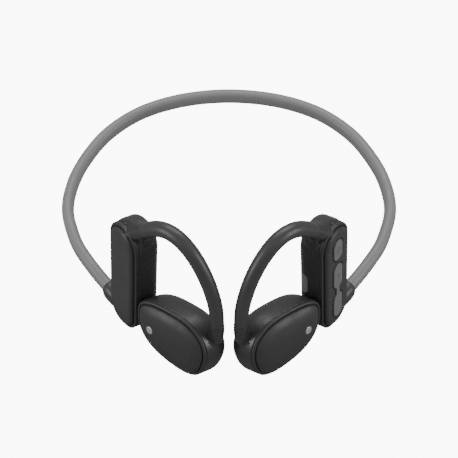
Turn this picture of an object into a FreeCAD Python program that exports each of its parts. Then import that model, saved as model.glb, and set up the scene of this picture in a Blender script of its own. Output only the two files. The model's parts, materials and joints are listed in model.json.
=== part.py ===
import FreeCAD, Part
import math
import os

# Bone conduction headphones. A spring neckband joins two battery and control
# packs that sit behind the ears. From the top of each pack a hook arches over
# the ear and carries the vibrating pod in front of it.
# Millimetres. +Z up, +Y towards the back of the wearer's head, +X the wearer's
# left. The origin is the middle of the footprint, on the plane it stands on.

V = FreeCAD.Vector

# ---------------------------------------------------------------- dimensions
Y_MID = 37.13            # depth of the footprint's middle behind the pack faces
Z_LOW = -1.39             # height of the lowest point above the datum

# packs
PACK_X = 37.2           # middle of each pack's outer face, from the mid plane
PACK_YAW = 36.0         # outer face turned towards the front
PACK_W = 16.7           # width of the stadium outline
PACK_H = 48.3           # height of the stadium outline
PACK_Z = -1.1           # bottom of the packs, against the datum
PACK_LEAN = 3.2         # the packs lean towards each other at the top
PACK_T = 10.3            # thickness
PACK_WALL = 1.2
COVER_T = 1.6           # outer cover plate
PACK_ROUND = 3.2        # rounding of the side towards the head
GROOVE_IN = 1.0         # groove round the raised panel, in from the cover's edge
GROOVE_W = 0.4
GROOVE_D = 0.5
PANEL_UP = 1.15         # how far the panel stands out of its rim

# neckband
BAND_T = 4.7            # section, in the plane of the band
BAND_H = 6.2            # section, across the plane of the band
BAND_TILT = 13.0        # the band rises towards the back
BAND_FLEX_X = 14.0      # where each arm starts to flex, from the mid plane
CORE_D = 1.1            # titanium spring wire
LEAD_D = 0.9            # conductor bundle
BAND_XY = [             # centre line of one half, from the middle of the back
    (0.0, 100.3), (10.0, 99.7), (19.8, 97.9), (28.8, 95.0), (37.2, 90.8),
    (44.0, 85.6), (50.0, 79.3), (54.9, 71.6), (58.9, 63.0), (61.2, 54.0),
    (61.5, 45.0), (59.3, 36.6), (56.6, 30.0), (52.8, 24.0), (48.8, 18.5),
    (44.4, 13.1), (40.2, 8.3),
]
BAND_Z0 = 4.7           # height of the centre line where it leaves the collar
BAND_Y0 = 14.0

# ear hooks
HOOK_YAW = 39.0         # plan direction of the hook, from +X towards the front
HOOK_BASE = (27.0, -3.9)
HOOK_D_ROOT = 5.6
HOOK_D_END = 4.9
HOOK_QZ = [             # centre line in the hook's own upright plane
    (-1.4, 48.6), (2.0, 51.3), (5.7, 53.5), (10.3, 54.5), (15.1, 53.4),
    (19.3, 50.5), (22.9, 46.3), (25.8, 41.2), (27.9, 35.7), (29.2, 29.8),
    (29.5, 23.6),
]
HOOK_WIRE_D = 1.0

# pods
POD_Q = 14.5            # middle of the pod along the hook's plane
POD_Z = 11.3
POD_OFF = 6.0           # parting plane, out from the hook's plane
POD_TILT = 12.0         # the outer face looks up a little
POD_T = 10.8             # body depth behind the parting plane
POD_UV = [              # outline of the pod on its parting plane
    (-15.3, 6.9), (-12.6, 9.1), (-8.0, 10.4), (-1.4, 11.0), (4.5, 10.8),
    (9.4, 9.2), (13.2, 6.2), (15.4, 1.8), (15.3, -3.9), (13.2, -8.4),
    (8.5, -10.6), (1.4, -10.8), (-5.0, -9.7), (-10.0, -7.5), (-13.9, -3.6),
    (-15.8, 1.6),
]

# controls on the left pack
POWER_W, POWER_H, POWER_Z = 5.3, 9.0, 38.4
LOBE_W, LOBE_H, LOBE_UP_Z, LOBE_DN_Z = 5.3, 11.2, 25.8, 11.3
NECK_W = 1.9
KEY_T = 0.3             # across the panel, from its middle towards the front
KEY_GAP = 0.20
KEY_PROUD = 0.35

os.makedirs("parts", exist_ok=True)
made = {}
box = FreeCAD.BoundBox()


def put(name, shape):
    shape = shape.removeSplitter() if len(shape.Solids) == 1 else shape
    if len(shape.Solids) != 1:
        shape = max(shape.Solids, key=lambda s: s.Volume)
    elif shape.ShapeType != "Solid":
        shape = shape.Solids[0]
    shape = shape.copy()
    shape.translate(V(0, -Y_MID, -Z_LOW))
    made[name] = shape
    shape.exportStep("parts/%s.step" % name)
    b = shape.optimalBoundingBox(False, False)
    box.add(b)
    print("%-28s %8.2f mm3  X %.2f..%.2f Y %.2f..%.2f Z %.2f..%.2f %s" % (
        name, shape.Volume, b.XMin, b.XMax, b.YMin, b.YMax, b.ZMin, b.ZMax,
        "" if shape.isValid() else "INVALID"))


def flip(shape):
    return shape.mirror(V(0, 0, 0), V(1, 0, 0))


def sides(name, shape):
    """One piece of the right unit and its mirror image in the left unit."""
    put(name + "_right", shape)
    put(name + "_left", flip(shape))


# ------------------------------------------------------------ local frames
class Frame:
    """Places a local x, y, z drawing in the headset."""

    def __init__(self, origin, x, y, z):
        self.m = FreeCAD.Matrix(
            x.x, y.x, z.x, origin.x,
            x.y, y.y, z.y, origin.y,
            x.z, y.z, z.z, origin.z,
            0, 0, 0, 1)
        self.o, self.x, self.y, self.z = origin, x, y, z

    def __call__(self, shape):
        s = shape.copy()
        s.Placement = FreeCAD.Placement(self.m).multiply(s.Placement)
        return s

    def p(self, a, b, c):
        return self.o + self.x * a + self.y * b + self.z * c


def rad(a):
    return math.radians(a)


# The right unit (wearer's right, -X) is drawn; the left one mirrors it.
a = rad(PACK_YAW)
k = rad(PACK_LEAN)


def lean(v):
    return V(v.x * math.cos(k) + v.z * math.sin(k), v.y,
             v.z * math.cos(k) - v.x * math.sin(k))


pack = Frame(V(-PACK_X, 0, PACK_H / 2 + PACK_Z) - lean(V(0, 0, PACK_H / 2)),
             lean(V(math.sin(a), -math.cos(a), 0)),
             lean(V(math.cos(a), math.sin(a), 0)), lean(V(0, 0, 1)))
# in the pack's frame x points to the front, y inward, z up
h = rad(HOOK_YAW)
hook_d = V(math.cos(h), -math.sin(h), 0)
hook_in = V(math.sin(h), math.cos(h), 0)
hook_o = V(-HOOK_BASE[0], HOOK_BASE[1], 0)
g = rad(POD_TILT)
pod_n = hook_in * -math.cos(g) + V(0, 0, math.sin(g))       # outward
pod_v = pod_n.cross(hook_d)
if pod_v.z < 0:
    pod_v = pod_v * -1
pod_off = POD_OFF + (12.0 - POD_Z) * math.tan(g)
pod_o = hook_o + hook_d * POD_Q - hook_in * pod_off + V(0, 0, POD_Z)
# local x towards the rear end of the pod, y up its face, z inward from the
# parting plane
pod = Frame(pod_o, hook_d * -1, pod_v, pod_n * -1)


def hp(q, z, off=0.0):
    return hook_o + hook_d * q + hook_in * -off + V(0, 0, z)


# ------------------------------------------------------------ drawing helpers
def closed_spline(points):
    c = Part.BSplineCurve()
    c.interpolate(Points=points, PeriodicFlag=True)
    return Part.Wire([c.toShape()])


def super_ellipse(w, t, n, count=16):
    pts = []
    for i in range(count):
        f = 2 * math.pi * i / count
        c, s = math.cos(f), math.sin(f)
        pts.append((w / 2 * math.copysign(abs(c) ** (2 / n), c),
                    t / 2 * math.copysign(abs(s) ** (2 / n), s)))
    return pts


def section(pts, o, u, v):
    return closed_spline([o + u * p[0] + v * p[1] for p in pts])


def ring(o, tangent, d):
    return Part.Wire([Part.makeCircle(d / 2.0, o, tangent)])


def pipe(edge, profiles, binormal):
    ps = Part.BRepOffsetAPI.MakePipeShell(Part.Wire([edge]))
    ps.setBiNormalMode(binormal)
    for w in profiles:
        ps.add(w)
    ps.build()
    ps.makeSolid()
    return ps.shape()


def stadium(w, height, x0=0.0, z0=0.0, y=0.0):
    """Upright stadium outline in the local x-z plane, at depth y."""
    r = w / 2.0
    k = height / 2.0 - r
    p = [V(x0 - r, y, z0 - k), V(x0 - r, y, z0 + k), V(x0, y, z0 + k + r),
         V(x0 + r, y, z0 + k), V(x0 + r, y, z0 - k), V(x0, y, z0 - k - r)]
    return Part.Wire([
        Part.makeLine(p[0], p[1]), Part.Arc(p[1], p[2], p[3]).toShape(),
        Part.makeLine(p[3], p[4]), Part.Arc(p[4], p[5], p[0]).toShape()])


def slab(w, height, y0, y1, x0=0.0, z0=0.0):
    return Part.Face(stadium(w, height, x0, z0, y0)).extrude(V(0, y1 - y0, 0))


def edges_at(shape, y, tol=1e-4):
    return [e for e in shape.Edges
            if all(abs(v.Point.y - y) < tol for v in e.Vertexes)
            and abs(e.BoundBox.YMax - y) < tol + 1e-3
            and abs(e.BoundBox.YMin - y) < tol + 1e-3]


def block(x0, x1, y0, y1, z0, z1, r=0.0):
    b = Part.makeBox(x1 - x0, y1 - y0, z1 - z0, V(x0, y0, z0))
    if r:
        b = b.makeFillet(r, [e for e in b.Edges if e.BoundBox.YLength > 1e-6
                             and e.BoundBox.XLength < 1e-6
                             and e.BoundBox.ZLength < 1e-6])
    return b


def pod_wire(s, depth, grow=0.0, ahead=0.0):
    pts = []
    for u, v in POD_UV:
        r = math.hypot(u, v)
        pts.append(V(-u * s - u / r * grow - ahead, v * s + v / r * grow, depth))
    return closed_spline(pts)


def pod_loft(levels):
    return Part.makeLoft([pod_wire(*lv) for lv in levels], True, False)


# ---------------------------------------------------------------- neckband
bt = rad(BAND_TILT)
band_n = V(0, -math.sin(bt), math.cos(bt))


def band_pt(x, y):
    return V(x, y, BAND_Z0 + (y - BAND_Y0) * math.tan(bt))


half = [band_pt(-x, y) for x, y in BAND_XY]
pts = list(reversed(half)) + [band_pt(x, y) for x, y in BAND_XY[1:]]
band_curve = Part.BSplineCurve()
band_curve.interpolate(Points=pts)
u_mid = band_curve.parameter(band_pt(0, BAND_XY[0][1]))
u_end = band_curve.LastParameter
u_beg = band_curve.FirstParameter


def band_param_at_x(x):
    lo, hi = band_curve.parameter(band_pt(-40, 89)), band_curve.parameter(
        band_pt(40, 89))
    for _ in range(60):
        m = (lo + hi) / 2
        if band_curve.value(m).x < x:
            lo = m
        else:
            hi = m
    return (lo + hi) / 2


def band_frame(u):
    o = band_curve.value(u)
    t = band_curve.tangent(u)[0]
    out = t.cross(band_n)
    if out.dot(V(o.x, o.y - 50, 0)) < 0:
        out = out * -1
    return o, t, out


def band_sweep(u0, u1, pts2d, du=0.0, dv=0.0):
    edge = band_curve.toShape(u0, u1)
    o, t, out = band_frame(u0)
    w = section([(p[0] + du, p[1] + dv) for p in pts2d], o, out, band_n)
    return pipe(edge, [w], band_n)


def band_rod(u0, u1, d, dv):
    edge = band_curve.toShape(u0, u1)
    o, t, out = band_frame(u0)
    return pipe(edge, [ring(o + band_n * dv, t, d)], band_n)


sleeve_pts = super_ellipse(BAND_T, BAND_H, 2.35)
uL, uR = band_param_at_x(BAND_FLEX_X), band_param_at_x(-BAND_FLEX_X)
gap = 0.04 / (band_curve.value(uL + 1e-3) - band_curve.value(uL)).Length * 1e-3
CORE_UP, LEAD_UP = 1.25, -1.25

center = band_sweep(uR, uL, sleeve_pts)
center = center.cut(band_rod(uR, uL, CORE_D + 0.04, CORE_UP))
center = center.cut(band_rod(uR, uL, LEAD_D + 0.04, LEAD_UP))
put("neckband_sleeve_center", center)
put("neckband_wire_center", band_rod(uR, uL, CORE_D, CORE_UP))
put("neckband_leads_center", band_rod(uR, uL, LEAD_D, LEAD_UP))
arm = band_sweep(u_beg, uR - gap, sleeve_pts)
arm_solid = arm
arm = arm.cut(band_rod(u_beg, uR - gap, CORE_D + 0.04, CORE_UP))
arm = arm.cut(band_rod(u_beg, uR - gap, LEAD_D + 0.04, LEAD_UP))
sides("neckband_sleeve", arm)
sides("neckband_wire", band_rod(u_beg, uR - gap, CORE_D, CORE_UP))
sides("neckband_leads", band_rod(u_beg, uR - gap, LEAD_D, LEAD_UP))
for u in (uR, uL):
    o, t, out = band_frame(u)
    q = o + out * (BAND_T / 2.0 + 0.02)
    print("band hinge", V(q.x, q.y - Y_MID, q.z - Z_LOW),
          "plane normal", round(band_n.y, 5), round(band_n.z, 5))

# ---------------------------------------------------------------- collars
# A short tapered boot where the band enters the lower rear edge of the pack.
u_c = band_curve.parameter(band_pt(-44.9, 13.7))
u_m = band_curve.parameter(band_pt(-42.9, 11.35))


def collar_section(u, w, t):
    o, tt, out = band_frame(u)
    return section(super_ellipse(w, t, 2.5), o, out, band_n)


collar_solid = Part.makeLoft([
    collar_section(u_beg, 7.2, 8.2), collar_section(u_m, 7.0, 8.1),
    collar_section(u_c, 6.0, 7.4)], True, False)
collar = collar_solid.cut(arm_solid)

# ---------------------------------------------------------------- packs
zc = PACK_H / 2.0
cover_y = COVER_T
tub = slab(PACK_W, PACK_H, cover_y + 0.03, PACK_T, 0, zc)
tub = tub.makeFillet(PACK_ROUND, edges_at(tub, PACK_T))
tub = tub.makeChamfer(0.22, edges_at(tub, cover_y + 0.03))
tub_outer = tub
cavity = slab(PACK_W - 2 * PACK_WALL, PACK_H - 2 * PACK_WALL, 0,
              PACK_T - PACK_WALL, 0, zc)
cavity = cavity.makeFillet(2.0, edges_at(cavity, PACK_T - PACK_WALL))

# neck that carries the ear hook, rising from the front shoulder of the pack
root = hp(*HOOK_QZ[0])
hook_line = Part.BSplineCurve()
hook_line.interpolate(Points=[hp(q, z) for q, z in HOOK_QZ])
root_t = hook_line.tangent(hook_line.FirstParameter)[0]
inv = pack.m.inverse()


def to_pack(shape):
    s = shape.copy()
    s.Placement = FreeCAD.Placement(inv).multiply(s.Placement)
    return s


neck_back = root - root_t * 8.2
neck = Part.makeCone(3.7, HOOK_D_ROOT / 2.0, (root - neck_back).Length - 0.03,
                     neck_back, root_t)
neck_bore = Part.makeCylinder((HOOK_WIRE_D + 0.04) / 2.0, 12.0,
                              root - root_t * 9.0, root_t)
neck_l, bore_l = to_pack(neck), to_pack(neck_bore)
tub = tub.fuse(neck_l.cut(slab(40, 120, -10, cover_y + 0.03, 0, zc)))
tub = tub.removeSplitter()
tub = tub.cut(cavity).cut(bore_l)
collar_l = to_pack(collar_solid)
tub = tub.cut(collar_l)

cover = slab(PACK_W - 0.08, PACK_H - 0.08, 0.05, cover_y, 0, zc)
cover = cover.makeFillet(0.5, edges_at(cover, 0.05))
cover = cover.makeChamfer(0.2, edges_at(cover, cover_y))
groove = slab(PACK_W - 2 * GROOVE_IN, PACK_H - 2 * GROOVE_IN, -1, GROOVE_D, 0, zc) \
    .cut(slab(PACK_W - 2 * (GROOVE_IN + GROOVE_W),
              PACK_H - 2 * (GROOVE_IN + GROOVE_W), -1, GROOVE_D, 0, zc))
panel = slab(PACK_W - 2 * (GROOVE_IN + GROOVE_W),
             PACK_H - 2 * (GROOVE_IN + GROOVE_W), -PANEL_UP, GROOVE_D + 0.1, 0, zc)
panel = panel.makeFillet(1.1, edges_at(panel, -PANEL_UP))
cover = cover.cut(groove).fuse(panel).removeSplitter()
lip = slab(PACK_W - 2 * PACK_WALL - 0.16, PACK_H - 2 * PACK_WALL - 0.16,
           cover_y, cover_y + 0.9, 0, zc).cut(
    slab(PACK_W - 2 * PACK_WALL - 1.8, PACK_H - 2 * PACK_WALL - 1.8,
         cover_y, cover_y + 0.9, 0, zc))
cover = cover.fuse(lip).removeSplitter()
cover = cover.cut(collar_l).cut(neck_l)
gasket = slab(PACK_W - 2 * PACK_WALL - 0.04, PACK_H - 2 * PACK_WALL - 0.04,
              cover_y + 0.95, cover_y + 1.5, 0, zc).cut(
    slab(PACK_W - 2 * PACK_WALL - 1.6, PACK_H - 2 * PACK_WALL - 1.6,
         cover_y + 0.95, cover_y + 1.5, 0, zc)).cut(collar_l).cut(neck_l)

collar = collar.cut(pack(gasket))
sides("band_collar", collar)
sides("pack_gasket", pack(gasket))
put("pack_housing_right", pack(tub))
put("pack_cover_right", pack(cover))

# right pack: the battery
put("battery_cell", pack(block(-5.6, 5.6, 3.85, 8.4, 11.0, 38.0, 1.2)))
put("battery_protection_board", pack(
    block(-4.6, 4.6, 4.6, 5.3, 38.4, 42.0, 0.5)))
put("battery_foam_pad", pack(block(-4.8, 4.8, 3.15, 3.8, 12.0, 37.0, 0.8)))

# ------------------------------------------------- left pack: the controls
# Drawn in the right pack's frame and mirrored with it.
power_hole = slab(POWER_W + 2 * KEY_GAP, POWER_H + 2 * KEY_GAP, -3, cover_y + 1,
                  KEY_T, POWER_Z)
power_well = slab(POWER_W + 1.3, POWER_H + 1.3, -3, 0.28 - PANEL_UP, KEY_T, POWER_Z)
KEY_OUT = -PANEL_UP - KEY_PROUD


def bone(extra, y0, y1):
    up = slab(LOBE_W + 2 * extra, LOBE_H + 2 * extra, y0, y1, KEY_T, LOBE_UP_Z)
    dn = slab(LOBE_W + 2 * extra, LOBE_H + 2 * extra, y0, y1, KEY_T, LOBE_DN_Z)
    nk = block(KEY_T - NECK_W / 2 - extra, KEY_T + NECK_W / 2 + extra, y0, y1,
               LOBE_DN_Z + 2, LOBE_UP_Z - 2)
    return up.fuse(dn).fuse(nk).removeSplitter()


cover_l = cover.cut(power_hole).cut(power_well).cut(bone(KEY_GAP, -3, cover_y + 1))
cover_l = cover_l.cut(bone(0.65, -3, 0.28 - PANEL_UP))

key = slab(POWER_W, POWER_H, KEY_OUT, cover_y + 0.1, KEY_T, POWER_Z)
key = key.makeFillet(0.3, edges_at(key, KEY_OUT))
key = key.fuse(slab(POWER_W + 1.4, POWER_H + 1.4, cover_y + 0.1, cover_y + 0.6,
                    KEY_T, POWER_Z)
               .common(slab(PACK_W - 2 * PACK_WALL - 2.0,
                            PACK_H - 2 * PACK_WALL - 2.0, 0, 8, 0, zc)))
sign = Part.makeCylinder(1.15, 1, V(KEY_T, KEY_OUT - 0.88, POWER_Z),
                         V(0, 1, 0)).cut(
    Part.makeCylinder(0.8, 1, V(KEY_T, KEY_OUT - 0.88, POWER_Z), V(0, 1, 0)))
sign = sign.cut(block(KEY_T - 0.45, KEY_T + 0.45, -4, 1, POWER_Z, POWER_Z + 2))
sign = sign.fuse(block(KEY_T - 0.17, KEY_T + 0.17, KEY_OUT - 1,
                       KEY_OUT + 0.12, POWER_Z + 0.2, POWER_Z + 1.5))
key = key.cut(sign).removeSplitter()
put("power_button", flip(pack(key)))

# The rocker tips about a pivot bar behind its neck.
ROCK_Z = (LOBE_UP_Z + LOBE_DN_Z) / 2.0
rock = bone(0, KEY_OUT, cover_y + 0.1)
rock = rock.makeFillet(0.26, edges_at(rock, KEY_OUT))
rock = rock.fuse(block(KEY_T - 0.9, KEY_T + 0.9, cover_y + 0.1, cover_y + 1.2,
                       ROCK_Z - 1.6, ROCK_Z + 1.6))


def bar(x0, x1, z0, z1):
    return block(KEY_T + x0, KEY_T + x1, -4, KEY_OUT + 0.12, z0, z1)


plus = bar(-0.95, 0.95, LOBE_UP_Z - 0.17, LOBE_UP_Z + 0.17).fuse(
    bar(-0.17, 0.17, LOBE_UP_Z - 0.95, LOBE_UP_Z + 0.95))
rock = rock.cut(plus).cut(bar(-0.95, 0.95, LOBE_DN_Z - 0.17, LOBE_DN_Z + 0.17))
pin_hole = Part.makeCylinder(0.42, 6, V(KEY_T - 3, cover_y + 0.75, ROCK_Z),
                             V(1, 0, 0))
rock = rock.cut(pin_hole).removeSplitter()
put("volume_rocker", flip(pack(rock)))
print("rocker pivot", flip(Part.Vertex(pack.p(KEY_T, cover_y + 0.75, ROCK_Z))).Point
      - V(0, Y_MID, Z_LOW), "axis", V(-pack.x.x, pack.x.y, pack.x.z))
print("press axis", V(-pack.y.x, pack.y.y, pack.y.z))
print("flap axis", V(pack.z.x, -pack.z.y, -pack.z.z))
pin = Part.makeCylinder(0.38, 3.4, V(KEY_T - 1.7, cover_y + 0.75, ROCK_Z), V(1, 0, 0))
put("rocker_pin", flip(pack(pin)))

# board with its parts, standing in the cavity behind the keys
PCB_Y = 4.9
pcb = block(-5.3, 5.3, PCB_Y, PCB_Y + 0.8, 9.8, 42.0, 1.5)
port_dir_a = 45.0

# charging port, looking out of the rounded front inner edge
pa = rad(port_dir_a)
port_m = V(math.cos(pa), math.sin(pa), 0)          # local, outward
port_s = V(-math.sin(pa), math.cos(pa), 0)
PORT_Z = 23.8
corner = V(PACK_W / 2 - PACK_ROUND, PACK_T - PACK_ROUND, 0)  # fillet centre


def port_box(s0, s1, m0, m1, z0, z1, r=None):
    """Box set along the port's own direction, in the pack's frame."""
    if r is None:
        b = Part.makeBox(m1 - m0, s1 - s0, z1 - z0, V(m0, s0, z0))
    else:
        w = s1 - s0
        zz0, zz1 = z0 + w / 2, z1 - w / 2
        b = Part.makeBox(m1 - m0, w, zz1 - zz0, V(m0, s0, zz0))
        b = b.fuse(Part.makeCylinder(w / 2, m1 - m0, V(m0, s0 + w / 2, zz0), V(1, 0, 0)))
        b = b.fuse(Part.makeCylinder(w / 2, m1 - m0, V(m0, s0 + w / 2, zz1), V(1, 0, 0)))
        b = b.removeSplitter()
    mm = FreeCAD.Matrix(port_m.x, port_s.x, 0, corner.x,
                        port_m.y, port_s.y, 0, corner.y,
                        0, 0, 1, 0, 0, 0, 0, 1)
    b.Placement = FreeCAD.Placement(mm).multiply(b.Placement)
    return b


usb_out = port_box(-1.6, 1.6, -4.6, 1.6, PORT_Z - 4.45, PORT_Z + 4.45, True)
usb_in = port_box(-1.3, 1.3, -3.8, 3.0, PORT_Z - 4.15, PORT_Z + 4.15, True)
tongue = port_box(-0.35, 0.35, -4.2, 0.9, PORT_Z - 3.3, PORT_Z + 3.3)
usb = usb_out.cut(usb_in).fuse(tongue).removeSplitter()
usb_clear = port_box(-1.62, 1.62, -4.7, 3.2, PORT_Z - 4.47, PORT_Z + 4.47, True)

# the flap follows the rounded edge of the housing and lies flush in it
FLAP_T = 0.95
under = slab(PACK_W - 2 * FLAP_T, PACK_H - 2 * FLAP_T, -1, PACK_T - FLAP_T, 0, zc)
under = under.makeFillet(PACK_ROUND - FLAP_T, edges_at(under, PACK_T - FLAP_T))
skin = tub_outer.cut(under)
FLAP_Z0, FLAP_Z1, FLAP_S = 18.9, 28.7, 2.95
flap_cut = port_box(-FLAP_S, FLAP_S, 0.2, 6.0, FLAP_Z0, FLAP_Z1)
flap_cut = flap_cut.makeFillet(1.8, [e for e in flap_cut.Edges
                                     if e.BoundBox.ZLength < 1e-6
                                     and abs(e.Length - 5.8) < 1e-3])
flap_in = port_box(-FLAP_S + 0.07, FLAP_S - 0.07, 0.2, 6.0,
                   FLAP_Z0 + 0.10, FLAP_Z1 - 0.10)
flap_in = flap_in.makeFillet(2.1, [e for e in flap_in.Edges
                                    if e.BoundBox.ZLength < 1e-6
                                    and abs(e.Length - 5.8) < 1e-3])
flap = skin.common(flap_in)
flap_seat = skin.common(flap_cut)
# the strap edge on the inner side, on the outer surface
best = None
for v in flap.Vertexes:
    s = (v.Point - corner).dot(port_s)
    d = v.Point.y
    if best is None or (round(s, 2), round(d, 3)) > best[0]:
        best = ((round(s, 2), round(d, 3)), v.Point)
hv = best[1]
flap = flap.cut(block(hv.x - 10, hv.x, -2, PACK_T + 2, 0, 60))
# the free edge is rounded about the hinge so that it clears its seat
flap = flap.common(Part.makeCylinder(
    (hv - corner).dot(port_s) + FLAP_S - 0.03, 60, V(hv.x, hv.y, 0), V(0, 0, 1)))
put("port_flap", flip(pack(flap)))
hinge_pt = pack.p(hv.x, hv.y, (FLAP_Z0 + FLAP_Z1) / 2)
print("flap hinge", V(-hinge_pt.x, hinge_pt.y - Y_MID, hinge_pt.z - Z_LOW))

tub_l = tub.cut(flap_seat).cut(usb_clear)
put("pack_housing_left", flip(pack(tub_l)))
cover_l = cover_l.cut(usb_clear)
put("pack_cover_left", flip(pack(cover_l)))
pcb = pcb.cut(usb_clear)
put("main_board", flip(pack(pcb)))
put("usb_c_receptacle", flip(pack(usb)))
put("rf_shield", flip(pack(block(-3.9, 2.6, PCB_Y + 0.82, PCB_Y + 2.0,
                                 28.7, 35.9, 0.4))))


def switch(z):
    body = block(KEY_T - 1.75, KEY_T + 1.75, PCB_Y - 1.2, PCB_Y - 0.02,
                 z - 1.75, z + 1.75, 0.3)
    return body.fuse(Part.makeCylinder(0.85, 0.28, V(KEY_T, PCB_Y - 1.48, z),
                                       V(0, 1, 0))).removeSplitter()


put("power_switch", flip(pack(switch(POWER_Z))))
put("volume_up_switch", flip(pack(switch(LOBE_UP_Z + 4.4))))
put("volume_down_switch", flip(pack(switch(LOBE_DN_Z + 2.4))))

# ---------------------------------------------------------------- ear hooks
f0, f1 = hook_line.FirstParameter, hook_line.LastParameter
hook_edge = hook_line.toShape(f0, f1)
end_t = hook_line.tangent(f1)[0]
end_p = hook_line.value(f1)
hook_b = hook_in
sleeve = pipe(hook_edge, [ring(root, root_t, HOOK_D_ROOT),
                          ring(end_p, end_t, HOOK_D_END)], hook_b)
wire = pipe(hook_edge, [ring(root, root_t, HOOK_WIRE_D)], hook_b)
wire_clear = pipe(hook_edge, [ring(root, root_t, HOOK_WIRE_D + 0.04)], hook_b)
sides("ear_hook_sleeve", sleeve.cut(wire_clear))
sides("ear_hook_wire", wire)
print("hook root", V(root.x, root.y - Y_MID, root.z - Z_LOW), "axis", root_t)
pad_c = pod.p(-1.4, 0, POD_T + 0.75)
print("pad face", V(pad_c.x, pad_c.y - Y_MID, pad_c.z - Z_LOW), "normal", pod.z)
port_c = pack.p(PACK_W / 2 - PACK_ROUND + 1.6 * 0.7071, PACK_T - PACK_ROUND + 1.6 * 0.7071, PORT_Z)
print("port", V(-port_c.x, port_c.y - Y_MID, port_c.z - Z_LOW))

# ---------------------------------------------------------------- pods
body = pod_loft([(1.0, 0.03, 0, 0), (1.0, 2.8, 0.1, 0.55),
                 (1.0, 5.8, 0.0, 1.2), (0.97, 8.2, -0.2, 1.5),
                 (0.89, 9.9, -0.2, 1.6), (0.76, POD_T, 0, 1.4)])
hollow = pod_loft([(1.0, -0.5, -1.35, 0), (1.0, 2.8, -1.4, 0.5),
                   (0.99, 5.8, -1.5, 1.15), (0.95, 7.8, -1.6, 1.35),
                   (0.87, 9.0, -1.6, 1.45)])
boss_end = hp(26.6, 12.0)
boss_line = Part.BSplineCurve()
boss_line.interpolate(Points=[end_p, end_p + end_t * 3.0, hp(28.7, 16.6), boss_end])
b0, b1 = boss_line.FirstParameter, boss_line.LastParameter
boss = pipe(boss_line.toShape(b0, b1), [
    ring(end_p, boss_line.tangent(b0)[0], HOOK_D_END),
    ring(boss_end, boss_line.tangent(b1)[0], 6.4)], hook_b)
pod_inv = pod.m.inverse()
boss_loc = boss.copy()
boss_loc.Placement = FreeCAD.Placement(pod_inv).multiply(boss_loc.Placement)
boss_loc = boss_loc.cut(Part.makeBox(60, 60, 30, V(-30, -30, -29.97)))
sleeve_loc = sleeve.copy()
sleeve_loc.Placement = FreeCAD.Placement(pod_inv).multiply(sleeve_loc.Placement)
shell = body.fuse(boss_loc).removeSplitter().cut(hollow).cut(sleeve_loc)
PAD_S = 0.60
pad_seat = pod_loft([(PAD_S + 0.012, POD_T - 0.55, 0), (PAD_S + 0.012, POD_T + 1, 0)])
pad_hole = pod_loft([(PAD_S - 0.14, 5, 0), (PAD_S - 0.14, POD_T + 1, 0)])
shell = shell.cut(pad_seat).cut(pad_hole)
mic_hole = Part.makeCylinder(0.55, 6, V(-9.2, -6, 4.4), V(-0.25, -1, 0))
shell = shell.cut(mic_hole)
sides("pod_housing", pod(shell))

rim = pod_loft([(1.0, 0.0, -0.06), (1.0, -0.55, -0.12), (1.0, -0.88, -0.38),
                (1.0, -1.02, -0.8)])
rim = rim.cut(pod_loft([(1.0, -4, -1.05), (1.0, -0.55, -1.05)]).cut(
    pod_loft([(1.0, -4, -1.4), (1.0, 0, -1.4)])))
crown = pod_loft([(1.0, -0.45, -1.4), (1.0, -1.2, -1.42), (1.0, -1.85, -1.75),
                  (1.0, -2.3, -2.5), (0.66, -2.7, 0), (0.44, -2.86, 0),
                  (0.22, -2.94, 0), (0.07, -2.96, 0)])
inner = pod_loft([(1.0, 0.5, -1.7), (1.0, -0.2, -1.9), (0.7, -0.9, -1.0),
                  (0.4, -1.4, 0)])
face = rim.fuse(crown).removeSplitter().cut(inner)
BADGE = (8.2, -0.2)
badge_hole = Part.makeCylinder(1.55, 6, V(BADGE[0], BADGE[1], -6), V(0, 0, 1))
badge_floor = -2.27
face = face.cut(badge_hole.cut(Part.makeBox(60, 60, 30, V(-30, -30, badge_floor))))
sides("pod_cover", pod(face))
badge = Part.makeCylinder(1.5, 0.6, V(BADGE[0], BADGE[1], badge_floor - 0.6), V(0, 0, 1))
sides("pod_badge", pod(badge))

pad = pod_loft([(PAD_S, POD_T - 0.53, 0), (PAD_S, POD_T + 0.15, 0),
                (PAD_S - 0.03, POD_T + 0.5, 0), (PAD_S - 0.10, POD_T + 0.75, 0)])
sides("pod_contact_pad", pod(pad))

# transducer: spring plate, voice coil, magnet and yoke, in line under the pad
AX, AY = 0.0, -0.3


def can(r, z0, z1, r_in=0.0):
    s = Part.makeCylinder(r, z1 - z0, V(AX, AY, z0), V(0, 0, 1))
    if r_in:
        s = s.cut(Part.makeCylinder(r_in, z1 - z0, V(AX, AY, z0), V(0, 0, 1)))
    return s


yoke = can(6.6, 1.6, 7.2).cut(can(5.9, 2.6, 7.2))
sides("transducer_yoke", pod(yoke))
sides("transducer_magnet", pod(can(4.2, 2.63, 6.3)))
sides("voice_coil", pod(can(5.5, 4.2, 7.8, 4.7)))
plate = can(6.6, 7.85, 8.25).fuse(can(2.2, 8.25, POD_T - 0.56)).removeSplitter()
sides("spring_plate", pod(plate))

mic_o = V(-9.2, -6, 4.4)
mic = Part.makeCylinder(1.3, 1.2, mic_o + V(0.05, 0.2, 0) * 4, V(-0.25, -1, 0))
put("microphone", flip(pod(mic)))

# ---------------------------------------------------------------- extents
print("overall X %.2f..%.2f Y %.2f..%.2f Z %.2f..%.2f" % (
    box.XMin, box.XMax, box.YMin, box.YMax, box.ZMin, box.ZMax))
print("mid y", (box.YMin + box.YMax) / 2, "nodes", len(made))
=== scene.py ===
import json
import math

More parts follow.
